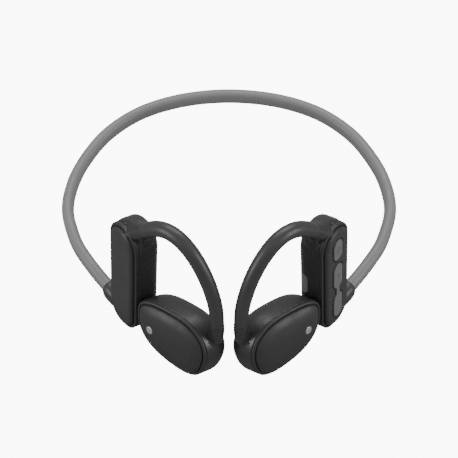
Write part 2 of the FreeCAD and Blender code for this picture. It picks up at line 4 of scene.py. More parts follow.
import bpy
import numpy as np
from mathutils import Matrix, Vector

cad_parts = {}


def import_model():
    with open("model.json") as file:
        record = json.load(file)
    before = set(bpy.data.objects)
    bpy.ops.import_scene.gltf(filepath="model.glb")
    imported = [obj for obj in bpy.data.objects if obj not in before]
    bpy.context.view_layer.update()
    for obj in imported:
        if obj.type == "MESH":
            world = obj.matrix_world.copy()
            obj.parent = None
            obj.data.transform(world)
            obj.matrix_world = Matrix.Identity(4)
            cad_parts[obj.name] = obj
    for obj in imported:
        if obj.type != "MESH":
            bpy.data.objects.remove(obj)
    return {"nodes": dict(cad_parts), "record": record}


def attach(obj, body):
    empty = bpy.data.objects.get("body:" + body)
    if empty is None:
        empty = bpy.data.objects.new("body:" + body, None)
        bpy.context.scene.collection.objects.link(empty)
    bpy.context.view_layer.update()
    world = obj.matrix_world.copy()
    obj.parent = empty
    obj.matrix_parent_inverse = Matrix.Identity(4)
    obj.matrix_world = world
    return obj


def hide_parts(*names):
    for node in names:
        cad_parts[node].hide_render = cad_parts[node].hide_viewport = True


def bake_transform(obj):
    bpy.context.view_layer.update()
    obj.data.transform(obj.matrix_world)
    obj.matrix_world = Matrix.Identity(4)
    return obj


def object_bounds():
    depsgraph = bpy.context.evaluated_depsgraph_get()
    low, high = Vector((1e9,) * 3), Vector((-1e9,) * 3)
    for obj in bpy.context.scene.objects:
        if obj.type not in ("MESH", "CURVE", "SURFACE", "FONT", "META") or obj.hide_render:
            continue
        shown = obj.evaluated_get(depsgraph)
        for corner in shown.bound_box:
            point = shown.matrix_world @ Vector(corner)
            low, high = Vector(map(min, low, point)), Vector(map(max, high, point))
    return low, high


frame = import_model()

cad_lo, cad_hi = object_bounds()

# ------------------------------------------------------------------ drawing
# Dimensions as in the CAD model, in millimetres from its drawing datum.
Y_MID = 37.13
Z_LOW = -1.39
PACK_X, PACK_YAW, PACK_LEAN = 37.2, 36.0, 3.2
PACK_W, PACK_H, PACK_Z, PACK_T, PACK_ROUND = 16.7, 48.3, -1.1, 10.3, 3.2
BAND_T, BAND_H, BAND_TILT = 4.7, 6.2, 13.0
BAND_XY = [
    (0.0, 100.3), (10.0, 99.7), (19.8, 97.9), (28.8, 95.0), (37.2, 90.8),
    (44.0, 85.6), (50.0, 79.3), (54.9, 71.6), (58.9, 63.0), (61.2, 54.0),
    (61.5, 45.0), (59.3, 36.6), (56.6, 30.0), (52.8, 24.0), (48.8, 18.5),
    (44.4, 13.1), (40.2, 8.3)]
BAND_Z0, BAND_Y0 = 4.7, 14.0
HOOK_YAW = 39.0
HOOK_BASE = (27.0, -3.9)
HOOK_D_ROOT, HOOK_D_END = 5.6, 4.9
HOOK_QZ = [
    (-1.4, 48.6), (2.0, 51.3), (5.7, 53.5), (10.3, 54.5), (15.1, 53.4),
    (19.3, 50.5), (22.9, 46.3), (25.8, 41.2), (27.9, 35.7), (29.2, 29.8),
    (29.5, 23.6)]
POD_Q, POD_Z, POD_OFF, POD_TILT, POD_T = 14.5, 11.3, 6.0, 12.0, 10.8
POD_UV = [
    (-15.3, 6.9), (-12.6, 9.1), (-8.0, 10.4), (-1.4, 11.0), (4.5, 10.8),
    (9.4, 9.2), (13.2, 6.2), (15.4, 1.8), (15.3, -3.9), (13.2, -8.4),
    (8.5, -10.6), (1.4, -10.8), (-5.0, -9.7), (-10.0, -7.5), (-13.9, -3.6),
    (-15.8, 1.6)]
BADGE = (8.2, -0.2)

rad = math.radians


def unit(v):
    v = np.asarray(v, float)
    return v / np.linalg.norm(v, axis=-1, keepdims=True)


def world(p):
    """Datum millimetres to row-frame metres."""
    p = np.asarray(p, float)
    return (p - np.array([0, Y_MID, Z_LOW])) / 1000.0


# ------------------------------------------------------------ local frames
k_lean = rad(PACK_LEAN)


def lean(v):
    return np.array([v[0] * math.cos(k_lean) + v[2] * math.sin(k_lean), v[1],
                     v[2] * math.cos(k_lean) - v[0] * math.sin(k_lean)])


a = rad(PACK_YAW)
P_O = np.array([-PACK_X, 0, PACK_H / 2 + PACK_Z]) - lean(np.array([0, 0, PACK_H / 2]))
P_X = lean(np.array([math.sin(a), -math.cos(a), 0]))
P_Y = lean(np.array([math.cos(a), math.sin(a), 0]))
P_Zv = lean(np.array([0, 0, 1.0]))
P_M = np.stack([P_X, P_Y, P_Zv])          # rows: local axes

h = rad(HOOK_YAW)
hook_d = np.array([math.cos(h), -math.sin(h), 0])
hook_in = np.array([math.sin(h), math.cos(h), 0])
hook_o = np.array([-HOOK_BASE[0], HOOK_BASE[1], 0])
g = rad(POD_TILT)
pod_n = hook_in * -math.cos(g) + np.array([0, 0, math.sin(g)])
pod_v = np.cross(pod_n, hook_d)
if pod_v[2] < 0:
    pod_v = -pod_v
pod_off = POD_OFF + (12.0 - POD_Z) * math.tan(g)
pod_o = hook_o + hook_d * POD_Q - hook_in * pod_off + np.array([0, 0, POD_Z])


def pod_world(u, v, w):
    """u to the pod's front end, v up its face, w inward, to datum."""
    u, v, w = np.broadcast_arrays(np.asarray(u, float), v, w)
    return (pod_o + u[..., None] * hook_d + v[..., None] * pod_v
            - w[..., None] * pod_n)


def pod_local(p):
    q = p - pod_o
    return q @ hook_d, q @ pod_v, -(q @ pod_n)


def hook_plane(q, z, off=0.0):
    return hook_o + hook_d * q - hook_in * off + np.array([0, 0, z])


# ----------------------------------------------------------------- splines
def spline(points, closed=False):
    """C2 cubic through the points, by chord length. Returns f(t in 0..1)."""
    p = np.asarray(points, float)
    if closed:
        p = np.vstack([p, p[:1]])
    dt = np.linalg.norm(np.diff(p, axis=0), axis=1)
    t = np.concatenate([[0], np.cumsum(dt)])
    n = len(p)
    if closed:
        m = n - 1
        A = np.zeros((m, m))
        B = np.zeros((m, p.shape[1]))
        for i in range(m):
            hl, hr = dt[i - 1], dt[i]
            A[i, (i - 1) % m] += hl
            A[i, i] += 2 * (hl + hr)
            A[i, (i + 1) % m] += hr
            B[i] = 6 * ((p[i + 1] - p[i]) / hr - (p[i] - p[i - 1 if i else m - 1]) / hl)
        M = np.linalg.solve(A, B)
        M = np.vstack([M, M[:1]])
    else:
        A = np.eye(n)
        B = np.zeros((n, p.shape[1]))
        for i in range(1, n - 1):
            A[i, i - 1:i + 2] = dt[i - 1], 2 * (dt[i - 1] + dt[i]), dt[i]
            B[i] = 6 * ((p[i + 1] - p[i]) / dt[i] - (p[i] - p[i - 1]) / dt[i - 1])
        M = np.linalg.solve(A, B)

    def f(s):
        x = np.clip(np.asarray(s, float), 0, 1) * t[-1]
        i = np.clip(np.searchsorted(t, x, side="right") - 1, 0, n - 2)
        hh = dt[i][..., None]
        x0 = (x - t[i])[..., None]
        x1 = (t[i + 1] - x)[..., None]
        return (M[i] * x1 ** 3 + M[i + 1] * x0 ** 3) / (6 * hh) + \
            (p[i] / hh - M[i] * hh / 6) * x1 + (p[i + 1] / hh - M[i + 1] * hh / 6) * x0
    f.length = t[-1]
    f.knots = t / t[-1]
    return f


def even(f, n, lo=0.0, hi=1.0):
    """n points evenly spaced along the curve between two parameters."""
    s = np.linspace(lo, hi, 2000)
    p = f(s)
    c = np.concatenate([[0], np.cumsum(np.linalg.norm(np.diff(p, axis=0), axis=1))])
    return f(np.interp(np.linspace(0, c[-1], n), c, s))


def tangents(p):
    return unit(np.gradient(p, axis=0))


# ------------------------------------------------------------------ meshes
def mesh(name, verts, faces, material, smooth=True, mirror=False):
    v = np.asarray(verts, float).copy()
    if mirror:
        v[:, 0] *= -1
        faces = [tuple(reversed(f)) for f in faces]
    v = world(v)
    me = bpy.data.meshes.new(name)
    me.from_pydata([tuple(x) for x in v], [], [tuple(int(i) for i in f) for f in faces])
    me.validate()
    ob = bpy.data.objects.new(name, me)
    bpy.context.scene.collection.objects.link(ob)
    if material:
        me.materials.append(material)
    if smooth:
        me.polygons.foreach_set("use_smooth", [True] * len(me.polygons))
    me.update()
    return ob


def grid_faces(rows, cols, closed=True, offset=0, flip=False):
    faces = []
    for i in range(rows - 1):
        for j in range(cols if closed else cols - 1):
            k = (j + 1) % cols
            f = (offset + i * cols + j, offset + i * cols + k,
                 offset + (i + 1) * cols + k, offset + (i + 1) * cols + j)
            faces.append(tuple(reversed(f)) if flip else f)
    return faces


def fan(ring_start, cols, centre, flip=False):
    out = []
    for j in range(cols):
        f = (ring_start + j, ring_start + (j + 1) % cols, centre)
        out.append(tuple(reversed(f)) if flip else f)
    return out


def fix_outward(ob):
    import bmesh
    bm = bmesh.new()
    bm.from_mesh(ob.data)
    bmesh.ops.recalc_face_normals(bm, faces=bm.faces)
    bm.to_mesh(ob.data)
    bm.free()
    return ob


def tube(centres, radials, binormals, radii_u, radii_v, n=2.0, count=48,
         cap=(False, False)):
    """Rings of a super-ellipse section along a line."""
    f = np.linspace(0, 2 * np.pi, count, endpoint=False)
    c, s = np.cos(f), np.sin(f)
    cu = np.sign(c) * np.abs(c) ** (2 / n)
    sv = np.sign(s) * np.abs(s) ** (2 / n)
    v = (centres[:, None, :]
         + radials[:, None, :] * (np.asarray(radii_u)[:, None] * cu[None, :])[..., None]
         + binormals[:, None, :] * (np.asarray(radii_v)[:, None] * sv[None, :])[..., None])
    rows = len(centres)
    verts = v.reshape(-1, 3)
    faces = grid_faces(rows, count)
    extra = []
    if cap[0]:
        extra.append(centres[0])
        faces += fan(0, count, rows * count + len(extra) - 1, flip=True)
    if cap[1]:
        extra.append(centres[-1])
        faces += fan((rows - 1) * count, count, rows * count + len(extra) - 1)
    if extra:
        verts = np.vstack([verts, extra])
    return verts, faces


# --------------------------------------------------------------- materials
def new_material(name):
    m = bpy.data.materials.new(name)
    m.use_nodes = True
    nt = m.node_tree
    for nd in list(nt.nodes):
        nt.nodes.remove(nd)
    out = nt.nodes.new("ShaderNodeOutputMaterial")
    b = nt.nodes.new("ShaderNodeBsdfPrincipled")
    nt.links.new(b.outputs[0], out.inputs[0])
    return m, nt, b


def ramp(nt, fac, lo, hi, p0=0.3, p1=0.7):
    r = nt.nodes.new("ShaderNodeValToRGB")
    r.color_ramp.elements[0].position = p0
    r.color_ramp.elements[1].position = p1
    r.color_ramp.elements[0].color = (*lo, 1)
    r.color_ramp.elements[1].color = (*hi, 1)
    nt.links.new(fac, r.inputs[0])
    return r.outputs[0]


def material(name, colour, rough=0.5, metal=0.0, spec=0.5, grain=0.0,
             grain_scale=9000, vary=0.05, rough_vary=0.05, bevel=0.0,
             coat=0.0, stretch=None, sheen=0.0):
    m, nt, b = new_material(name)
    tc = nt.nodes.new("ShaderNodeTexCoord")
    mp = nt.nodes.new("ShaderNodeMapping")
    nt.links.new(tc.outputs["Object"], mp.inputs[0])
    if stretch:
        mp.inputs["Scale"].default_value = stretch
    n1 = nt.nodes.new("ShaderNodeTexNoise")
    n1.inputs["Scale"].default_value = 90
    n1.inputs["Detail"].default_value = 4
    nt.links.new(mp.outputs[0], n1.inputs["Vector"])
    lo = tuple(c * (1 - vary) for c in colour)
    hi = tuple(min(1, c * (1 + vary)) for c in colour)
    nt.links.new(ramp(nt, n1.outputs["Fac"], lo, hi), b.inputs["Base Color"])
    n2 = nt.nodes.new("ShaderNodeTexNoise")
    n2.inputs["Scale"].default_value = 260
    n2.inputs["Detail"].default_value = 3
    nt.links.new(mp.outputs[0], n2.inputs["Vector"])
    mr = nt.nodes.new("ShaderNodeMapRange")
    mr.inputs["From Min"].default_value = 0.3
    mr.inputs["From Max"].default_value = 0.7
    mr.inputs["To Min"].default_value = max(0.02, rough - rough_vary)
    mr.inputs["To Max"].default_value = min(1, rough + rough_vary)
    nt.links.new(n2.outputs["Fac"], mr.inputs["Value"])
    nt.links.new(mr.outputs[0], b.inputs["Roughness"])
    b.inputs["Metallic"].default_value = metal
    b.inputs["Specular IOR Level"].default_value = spec
    if coat:
        b.inputs["Coat Weight"].default_value = coat
    if sheen:
        b.inputs["Sheen Weight"].default_value = sheen
        b.inputs["Sheen Roughness"].default_value = 0.6
    normal = None
    if bevel:
        bv = nt.nodes.new("ShaderNodeBevel")
        bv.samples = 6
        bv.inputs["Radius"].default_value = bevel
        normal = bv.outputs[0]
    if grain:
        n3 = nt.nodes.new("ShaderNodeTexNoise")
        n3.inputs["Scale"].default_value = grain_scale
        n3.inputs["Detail"].default_value = 2
        nt.links.new(mp.outputs[0], n3.inputs["Vector"])
        bp = nt.nodes.new("ShaderNodeBump")
        bp.inputs["Strength"].default_value = grain
        bp.inputs["Distance"].default_value = 0.00004
        nt.links.new(n3.outputs["Fac"], bp.inputs["Height"])
        if normal:
            nt.links.new(normal, bp.inputs["Normal"])
        normal = bp.outputs[0]
    if normal:
        nt.links.new(normal, b.inputs["Normal"])
    return m


BEV = 0.00018
MAT = {
    "grey_silicone": material("grey_silicone", (0.182, 0.183, 0.187), 0.50, grain=0.25, grain_scale=6000, vary=0.03),
    "soft_black": material("soft_black", (0.036, 0.036, 0.038), 0.42, grain=0.2, grain_scale=7000),
    "shell_black": material("shell_black", (0.026, 0.026, 0.028), 0.36, grain=0.25, grain_scale=7000, bevel=BEV),
    "cover_black": material("cover_black", (0.024, 0.024, 0.026), 0.50, grain=0.25, grain_scale=7000, bevel=BEV),
    "gasket_rubber": material("gasket_rubber", (0.012, 0.012, 0.012), 0.7),
    "pad_rubber": material("pad_rubber", (0.022, 0.022, 0.024), 0.6, grain=0.3, bevel=BEV),
    "badge_silver": material("badge_silver", (0.62, 0.62, 0.63), 0.34, metal=0.9, grain=0.1, bevel=BEV),
    "flap_grey": material("flap_grey", (0.14, 0.141, 0.145), 0.6, grain=0.25, bevel=BEV),
    "key_grey": material("key_grey", (0.13, 0.131, 0.134), 0.5, grain=0.2, bevel=BEV),
    "titanium": material("titanium", (0.55, 0.53, 0.50), 0.32, metal=1.0, stretch=(1, 1, 12)),
    "lead_jacket": material("lead_jacket", (0.02, 0.02, 0.02), 0.55),
    "battery_wrap": material("battery_wrap", (0.45, 0.47, 0.52), 0.35, metal=0.3),
    "board_green": material("board_green", (0.015, 0.11, 0.045), 0.35, coat=0.4),
    "foam_black": material("foam_black", (0.02, 0.02, 0.02), 0.95, grain=1.0, grain_scale=3000),
    "tin_plate": material("tin_plate", (0.7, 0.7, 0.68), 0.3, metal=1.0),
    "switch_steel": material("switch_steel", (0.6, 0.6, 0.6), 0.35, metal=1.0),
    "port_steel": material("port_steel", (0.62, 0.62, 0.63), 0.28, metal=1.0, bevel=0.0001),
    "pin_steel": material("pin_steel", (0.6, 0.6, 0.6), 0.25, metal=1.0),
    "yoke_steel": material("yoke_steel", (0.45, 0.45, 0.46), 0.35, metal=1.0),
    "magnet_nickel": material("magnet_nickel", (0.7, 0.68, 0.62), 0.15, metal=1.0),
    "coil_copper": material("coil_copper", (0.6, 0.25, 0.1), 0.3, metal=1.0),
    "spring_steel": material("spring_steel", (0.6, 0.6, 0.62), 0.25, metal=1.0),
    "mic_can": material("mic_can", (0.7, 0.58, 0.33), 0.3, metal=1.0),
}
slot_of = {s["node"]: s["material_slot"] for s in frame["record"]["subparts"]}
for name, ob in frame["nodes"].items():
    ob.data.materials.clear()
    ob.data.materials.append(MAT[slot_of[name]])
    ob.data.polygons.foreach_set("use_smooth", [True] * len(ob.data.polygons))


# ---------------------------------------------------------------- neckband
bt = rad(BAND_TILT)
band_n = np.array([0, -math.sin(bt), math.cos(bt)])


def band_pt(x, y):
    return np.array([x, y, BAND_Z0 + (y - BAND_Y0) * math.tan(bt)])


pts = [band_pt(-x, y) for x, y in reversed(BAND_XY)] + [band_pt(x, y) for x, y in BAND_XY[1:]]
band_f = spline(pts)
N_BAND = 200
half = even(band_f, N_BAND, 0.0, 0.5)          # right collar to the middle
half[-1, 0] = 0.0
full_t = tangents(np.vstack([half, (half[:-1] * [-1, 1, 1])[::-1]]))[:N_BAND]
full_t[-1] = [1, 0, 0]
out_dir = np.cross(full_t, band_n)
out_dir *= np.sign((out_dir * (half - np.array([0, 50, 12]))).sum(1))[:, None]
for side, mir in (("right", False), ("left", True)):
    v, f = tube(half, out_dir, np.repeat(band_n[None], N_BAND, 0),
                [BAND_T / 2] * N_BAND, [BAND_H / 2] * N_BAND, 2.35, 56, (True, False))
    ob = fix_outward(mesh("neckband_" + side, v, f, MAT["grey_silicone"], mirror=mir))
    s = 1 if mir else -1
    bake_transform(ob)
    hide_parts("neckband_sleeve_" + side)
    if side == "right":
        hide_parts("neckband_sleeve_center")

# ----------------------------------------------------------------- collars
n_c = 40
near = half[half[:, 0] > -46.2][:60]
cl = half[:][np.linalg.norm(half - half[0], axis=1) < 6.7]
L = np.linalg.norm(cl - cl[0], axis=1)
s_c = np.linspace(0, L[-1], n_c)
cc = np.stack([np.interp(s_c, L, cl[:, i]) for i in range(3)], 1)
ct = tangents(cc)
co = np.cross(ct, band_n)
co *= np.sign((co * (cc - np.array([0, 50, 12]))).sum(1))[:, None]
x = s_c / s_c[-1]
w_u = np.interp(x, [0, 0.4, 0.65, 0.82, 0.92, 0.97, 1.0], [3.55, 3.6, 3.5, 3.3, 3.05, 2.8, 2.4])
w_v = np.interp(x, [0, 0.4, 0.65, 0.82, 0.92, 0.97, 1.0], [4.05, 4.12, 4.05, 3.9, 3.7, 3.45, 3.1])
for side, mir in (("right", False), ("left", True)):
    v, f = tube(cc, co, np.repeat(band_n[None], n_c, 0), w_u, w_v, 2.5, 56, (True, True))
    ob = fix_outward(mesh("collar_boot_" + side, v, f, MAT["soft_black"], mirror=mir))
    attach(ob, side + "_pack")
    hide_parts("band_collar_" + side)

# --------------------------------------------------------------- ear hooks
hook_f = spline([hook_plane(q, z) for q, z in HOOK_QZ])
N_H = 140
hc = even(hook_f, N_H)
ht = tangents(hc)
root, root_t = hc[0], ht[0]
end_p, end_t = hc[-1], ht[-1]
hb = np.repeat(hook_in[None], N_H, 0)
hr = unit(np.cross(ht, hb))
hd = np.linspace(HOOK_D_ROOT, HOOK_D_END, N_H) / 2
for side, mir in (("right", False), ("left", True)):
    pre = hc[0] - ht[0] * 0.7
    C = np.vstack([[pre], hc])
    R = np.vstack([hr[:1], hr])
    v, f = tube(C, R, np.vstack([hb[:1], hb]), np.concatenate([[hd[0] - 0.25], hd]),
                np.concatenate([[hd[0] - 0.25], hd]), 2.0, 56, (True, True))
    ob = fix_outward(mesh("ear_hook_" + side, v, f, MAT["soft_black"], mirror=mir))
    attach(ob, side + "_hook")
    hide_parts("ear_hook_sleeve_" + side)


# --------------------------------------- necks that grow out of the packs
def sd_pack(p):
    q = (p - P_O) @ P_M.T
    r0 = PACK_W / 2
    z = np.clip(q[..., 2], r0, PACK_H - r0)
    d2 = np.hypot(q[..., 0], q[..., 2] - z) - r0
    ya, yb = -q[..., 1], q[..., 1] - PACK_T
    rr = np.where(q[..., 1] > PACK_T / 2, PACK_ROUND, 0.85)
    dy = np.maximum(ya, yb)
    A, B = d2 + rr, dy + rr
    return np.minimum(np.maximum(A, B), 0) + np.hypot(np.maximum(A, 0), np.maximum(B, 0)) - rr


def round_union(A, B, r):
    u = np.hypot(np.maximum(r - A, 0), np.maximum(r - B, 0))
    return np.maximum(r, np.minimum(A, B)) - u


def trumpet(axis_pts, r_of, sd_body, fillet, reach, count=64, fade=None):
    """A tube that meets a body in a round fillet: every ring is pushed out to
    where the filleted union ends."""
    t = tangents(axis_pts)
    b = np.repeat(hook_in[None], len(t), 0)
    b = unit(b - t * (b * t).sum(1, keepdims=True))
    r = unit(np.cross(t, b))
    f = np.linspace(0, 2 * np.pi, count, endpoint=False)
    e = r[:, None] * np.cos(f)[None, :, None] + b[:, None] * np.sin(f)[None, :, None]
    steps = np.linspace(-0.02, reach, 160)
    rad_ = r_of[:, None, None] + steps[None, None, :]
    p = axis_pts[:, None, None, :] + e[:, :, None, :] * rad_[..., None]
    own = np.broadcast_to(steps[None, None, :], p.shape[:-1])
    body = sd_body(p)

    def exit_at(d):
        outside = d >= 0
        first = np.argmax(outside, axis=2)
        none = ~outside.any(axis=2)
        i0 = np.clip(first - 1, 0, None)
        d0 = np.take_along_axis(d, i0[..., None], 2)[..., 0]
        d1 = np.take_along_axis(d, first[..., None], 2)[..., 0]
        w = np.clip(-d0 / np.where(d1 - d0 == 0, 1, d1 - d0), 0, 1)
        st = steps[i0] + (steps[first] - steps[i0]) * w
        st = np.where(first == 0, 0.0, st)
        return np.where(none, 0.0, st), none

    st, none = exit_at(round_union(body, own, fillet))
    if fade is not None:
        bare, _ = exit_at(np.minimum(body, own))
        spot = axis_pts[:, None, :] + e * (r_of[:, None] + st)[..., None]
        st = bare + (st - bare) * fade(spot)
    # a vertex that the body swallows stays under the body's surface
    rr = r_of[:, None] + st
    v = axis_pts[:, None, :] + e * rr[..., None]
    # past the fillet the skin dips just under the body, so no end shows
    g = np.stack([sd_body(v + np.eye(3)[k] * 0.02) - sd_body(v - np.eye(3)[k] * 0.02)
                  for k in range(3)], -1)
    g /= np.maximum(np.linalg.norm(g, axis=-1, keepdims=True), 1e-9)
    lift = sd_body(v)
    under = 0.09 * np.clip(1 - lift / 0.10, 0, 1)
    if fade is not None:
        under = np.where(lift < 0.004, 0.09 + 1.1 * (1 - fade(v)), under)
    v = v - g * under[..., None]
    return v, none


n_t = 70
s_t = np.linspace(0.02, 11.5, n_t)
axis_pts = root - root_t * s_t[:, None]
r_t = np.interp(s_t, [0, 8.2], [HOOK_D_ROOT / 2 + 0.02, 3.78])


def off_rim(p):
    """One over the body, nothing over the rim and the panel."""
    y = ((p - P_O) @ P_M.T)[..., 1]
    k = np.clip((y - 1.3) / 1.5, 0, 1)
    return k * k * (3 - 2 * k)


vt, gone = trumpet(axis_pts, r_t, sd_pack, 3.6, 5.0, fade=off_rim)
for side, mir in (("right", False), ("left", True)):
    f = grid_faces(n_t, 64)
    ob = fix_outward(mesh("hook_neck_" + side, vt.reshape(-1, 3), f, MAT["shell_black"], mirror=mir))
    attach(ob, side + "_pack")

# --------------------------------------------------------- pack bodies
PACK_NS = 72


def pack_ring(y, inset=0.0, dx=0.0):
    """Upright stadium at depth y in the pack's own frame."""
    r = PACK_W / 2 - inset
    kz = PACK_H / 2 - PACK_W / 2
    q = []
    arc = PACK_NS // 2
    for i in range(arc + 1):
        f = math.pi * i / arc
        q.append((r * math.cos(f), r * math.sin(f) + kz))
    side_n = 10
    for i in range(1, side_n):
        q.append((-r, kz - 2 * kz * i / side_n))
    for i in range(arc + 1):
        f = math.pi + math.pi * i / arc
        q.append((r * math.cos(f), r * math.sin(f) - kz))
    for i in range(1, side_n):
        q.append((r, -kz + 2 * kz * i / side_n))
    q = np.array(q)
    p = np.stack([q[:, 0], np.full(len(q), y), q[:, 1] + PACK_H / 2], 1)
    return P_O + p @ P_M


def arc_pts(cx, cy, r, a0, a1, n):
    t_ = np.radians(np.linspace(a0, a1, n))
    return [(cx + r * math.cos(v_), cy + r * math.sin(v_)) for v_ in t_]


# (inset, depth) from the parting line to the middle of the inner face
hous = [(1.1, 1.9), (0.5, 1.66), (0.24, 1.64), (0.13, 1.67), (0.05, 1.76), (0.0, 1.92)]
hous += [(0.0, y) for y in (2.6, 4.0, 5.6)]
hous += [(PACK_ROUND - r_, y_) for r_, y_ in
         arc_pts(0, PACK_T - PACK_ROUND, PACK_ROUND, 0, 88, 16)]
hous += [(i_, PACK_T + 0.0) for i_ in (3.6, 4.6, 6.0, 7.4)]
HN = len(pack_ring(0))
hv_ = np.vstack([pack_ring(y, i) for i, y in hous] + [[(P_O + np.array([0, PACK_T, PACK_H / 2]) @ P_M)]])
hf_ = grid_faces(len(hous), HN) + fan((len(hous) - 1) * HN, HN, len(hv_) - 1)
ob = fix_outward(mesh("pack_body_right", hv_, hf_, MAT["shell_black"]))
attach(ob, "right_pack")
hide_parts("pack_housing_right")

# raised panel inside a narrow rim, from the parting line outwards
cov = [(1.1, 1.3), (0.5, 1.56), (0.24, 1.58), (0.14, 1.55), (0.07, 1.47), (0.04, 1.34),
       (0.04, 0.9), (0.04, 0.56)]
cov += [(0.54 - a_, b_) for a_, b_ in arc_pts(0, 0.55, 0.5, -8, -88, 9)]
cov += [(0.72, 0.05), (0.86, 0.07), (0.95, 0.14), (0.99, 0.26), (1.03, 0.40), (1.10, 0.48),
        (1.20, 0.50), (1.30, 0.47), (1.37, 0.38), (1.40, 0.22), (1.41, 0.05)]
cov += [(1.42 + 1.6 * (1 - math.cos(v_)), -1.12 * math.sin(v_)) for v_ in
        np.radians(np.linspace(6, 90, 14))]
cov += [(3.8, -1.145), (4.8, -1.15), (6.0, -1.155), (7.2, -1.16)]
cvx = np.vstack([pack_ring(y, i) for i, y in cov] + [[(P_O + np.array([0, -1.16, PACK_H / 2]) @ P_M)]])
cfx = grid_faces(len(cov), HN) + fan((len(cov) - 1) * HN, HN, len(cvx) - 1)
ob = fix_outward(mesh("pack_panel_right", cvx, cfx, MAT["cover_black"]))
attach(ob, "right_pack")
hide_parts("pack_cover_right")

# the left panel has wells and holes for the keys
KEY_T, KEY_GAP = 0.3, 0.20
POWER = (5.3, 9.0, 38.4)
LOBES = (5.3, 11.2, 25.8, 11.3)
NECK_W = 1.9


def stad_ring(w_, h_, z_, n_=24):
    r = w_ / 2
    kz = h_ / 2 - r
    q = [(r * math.cos(f_), r * math.sin(f_) + kz) for f_ in np.linspace(0, math.pi, n_)]
    q += [(r * math.cos(f_), r * math.sin(f_) - kz) for f_ in np.linspace(math.pi, 2 * math.pi, n_)]
    return [(x_ + KEY_T, y_ + z_) for x_, y_ in q]


def bone_ring(extra, n_=24):
    w_, h_, zu, zd = LOBES
    r = w_ / 2 + extra
    kz = h_ / 2 + extra - r
    nw = NECK_W / 2 + extra
    a0 = math.asin(min(0.999, nw / r))
    q = [(r * math.cos(f_), r * math.sin(f_) + zu + kz) for f_ in np.linspace(0, math.pi, n_)]
    q += [(r * math.cos(f_), r * math.sin(f_) + zu - kz)
          for f_ in np.linspace(math.pi, 1.5 * math.pi - a0, n_ // 2)]
    q += [(r * math.cos(f_), r * math.sin(f_) + zd + kz)
          for f_ in np.linspace(0.5 * math.pi + a0, math.pi, n_ // 2)]
    q += [(r * math.cos(f_), r * math.sin(f_) + zd - kz) for f_ in np.linspace(math.pi, 2 * math.pi, n_)]
    q += [(r * math.cos(f_), r * math.sin(f_) + zd + kz)
          for f_ in np.linspace(0, 0.5 * math.pi - a0, n_ // 2)]
    q += [(r * math.cos(f_), r * math.sin(f_) + zu - kz)
          for f_ in np.linspace(1.5 * math.pi + a0, 2 * math.pi, n_ // 2)]
    return [(x_ + KEY_T, y_) for x_, y_ in q]


def cutter(name, outline, y0, y1):
    o = np.array(outline)
    n_ = len(o)
    lo_ = P_O + np.stack([o[:, 0], np.full(n_, y0), o[:, 1]], 1) @ P_M
    hi_ = P_O + np.stack([o[:, 0], np.full(n_, y1), o[:, 1]], 1) @ P_M
    v_ = np.vstack([lo_, hi_])
    f_ = grid_faces(2, n_) + [tuple(range(n_)), tuple(reversed(range(n_, 2 * n_)))]
    return fix_outward(mesh(name, v_, f_, None, smooth=False, mirror=True))


def carve(ob, cutters):
    for c_ in cutters:
        m_ = ob.modifiers.new("cut", "BOOLEAN")
        m_.operation = "DIFFERENCE"
        m_.solver = "EXACT"
        m_.object = c_
        dg = bpy.context.evaluated_depsgraph_get()
        me_ = bpy.data.meshes.new_from_object(ob.evaluated_get(dg))
        ob.modifiers.clear()
        ob.data = me_
        bpy.data.objects.remove(c_)
    return ob


def sharpen(ob, angle=35.0):
    """Smooth shading except across real corners."""
    import bmesh
    bm = bmesh.new()
    bm.from_mesh(ob.data)
    bmesh.ops.remove_doubles(bm, verts=bm.verts, dist=1e-7)
    lim = math.radians(angle)
    for e_ in bm.edges:
        e_.smooth = len(e_.link_faces) == 2 and e_.calc_face_angle(0.0) < lim
    for f_ in bm.faces:
        f_.smooth = True
    bm.to_mesh(ob.data)
    bm.free()


ob = fix_outward(mesh("pack_panel_left", np.vstack([cvx, P_O + np.array([[0, 1.3, PACK_H / 2]]) @ P_M]),
                      cfx + fan(0, HN, len(cvx), flip=True), MAT["cover_black"], mirror=True))
carve(ob, [cutter("c1", stad_ring(POWER[0] + 1.3, POWER[1] + 1.3, POWER[2]), -4, 0.28 - 1.15),
           cutter("c2", bone_ring(0.65), -4, 0.28 - 1.15),
           cutter("c3", stad_ring(POWER[0] + 2 * KEY_GAP, POWER[1] + 2 * KEY_GAP, POWER[2]), -4, 0.6),
           cutter("c4", bone_ring(KEY_GAP), -4, 0.6)])
sharpen(ob, 32)
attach(ob, "left_pack")
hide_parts("pack_cover_left")

# the left body keeps its port and flap seat from the CAD piece

# -------------------------------------------------------------------- pods
N_P = 220
pod_f = spline(POD_UV, closed=True)
base = even(pod_f, N_P + 1)[:-1]
tan = unit(np.roll(base, -1, 0) - np.roll(base, 1, 0))
nrm = np.stack([tan[:, 1], -tan[:, 0]], 1)
nrm *= np.sign((nrm * base).sum(1))[:, None]


def pod_ring(w, scale=1.0, grow=0.0, ahead=0.0, inset=0.0):
    r = np.linalg.norm(base, axis=1, keepdims=True)
    p = base * scale + base / r * grow - nrm * inset
    return pod_world(p[:, 0] + ahead, p[:, 1], np.full(len(p), w))


def smooth_levels(levels, count):
    """Loft levels (scale, depth, grow, ahead) resampled as a smooth profile."""
    L = np.array([[s * 10, d, o * 1.0, a_] for s, d, o, a_ in levels])
    f = spline(L)
    s = np.linspace(0, 1, count)
    q = f(s)
    return [(x[0] / 10, x[1], x[2], x[3]) for x in q]


